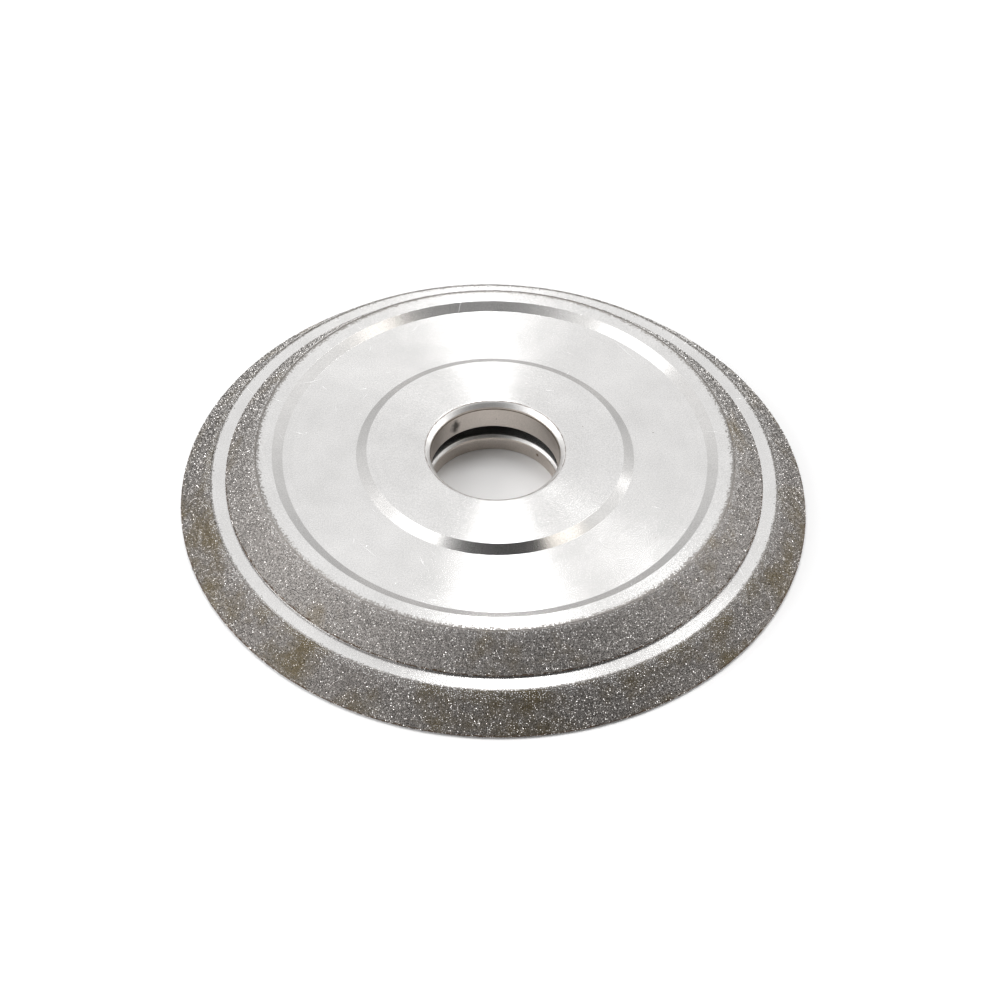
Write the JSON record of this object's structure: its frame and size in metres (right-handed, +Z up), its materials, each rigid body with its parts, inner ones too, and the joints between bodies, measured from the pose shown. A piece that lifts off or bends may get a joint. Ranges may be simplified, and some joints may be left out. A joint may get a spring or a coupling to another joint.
{
  "type": "diamond grinding wheel",
  "caption": "Stacked double grinding wheel: turned steel discs with a shared arbor bore, each with a 45 degree diamond plated bevel, the smaller one lying on the flat face of the wider one.",
  "frame": {"origin": "on the wheel's axis, at the face of the lower disc that it rests on", "axes": "+Z up the wheel's axis, from the lower disc to the upper disc"},
  "size_m": [0.125, 0.125, 0.0127],
  "materials": {
    "lower_disc_steel": "fine turned steel, concentric marks, satin",
    "upper_disc_steel": "fine turned steel, concentric marks, bright satin",
    "lower_diamond_coat": "rough nickel plating full of glittering diamond grit",
    "upper_diamond_coat": "rough nickel plating full of glittering diamond grit"
  },
  "bodies": {
    "lower_wheel": {"lower_disc": "lower_disc_steel", "lower_diamond_coat": "lower_diamond_coat"},
    "upper_wheel": {"upper_disc": "upper_disc_steel", "upper_diamond_coat": "upper_diamond_coat"}
  },
  "joints": [
    {"name": "upper_wheel_lift", "type": "slide", "parent": "lower_wheel", "child": "upper_wheel", "axis": [0, 0, 1], "range_m": [0, 0.03]}
  ]
}
